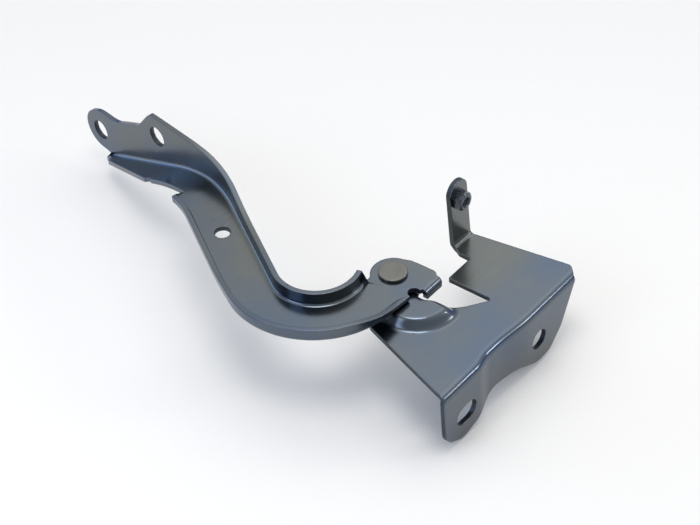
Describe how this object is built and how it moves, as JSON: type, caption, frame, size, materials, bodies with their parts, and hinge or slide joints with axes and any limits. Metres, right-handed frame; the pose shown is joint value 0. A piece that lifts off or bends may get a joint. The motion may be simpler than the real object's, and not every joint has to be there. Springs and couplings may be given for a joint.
{
  "type": "bonnet hinge",
  "caption": "Riveted bonnet hinge of plated sheet steel: a gooseneck channel arm with a bonnet flange swings about a pivot on a bent body bracket with an upright tab.",
  "frame": {"origin": "centre of the round body bolt hole, on the outer face of the body flange", "axes": "+X along the body flange from the slot to the round hole and on, +Y from the flange to the bonnet end of the arm, +Z along the pivot rivet towards its head"},
  "size_m": [0.1447, 0.3224, 0.084],
  "materials": {
    "zinc_plated_sheet": "satin, zinc-plated with a blue tint",
    "rivet_steel": "satin",
    "bush_bronze": "sintered, oil-filled",
    "nut_steel": "dark"
  },
  "bodies": {
    "bracket": {"body_bracket": "zinc_plated_sheet", "pivot_rivet": "rivet_steel", "thrust_washer": "rivet_steel", "backing_washer": "rivet_steel", "weld_nut": "nut_steel"},
    "arm": {"hinge_arm": "zinc_plated_sheet", "pivot_bush": "bush_bronze"}
  },
  "joints": [
    {"name": "arm_swing", "type": "hinge", "parent": "bracket", "child": "arm", "pos_m": [-0.0325, 0.0725, 0.0305], "axis": [0, 0, 1], "range_deg": [-4, 70]}
  ]
}
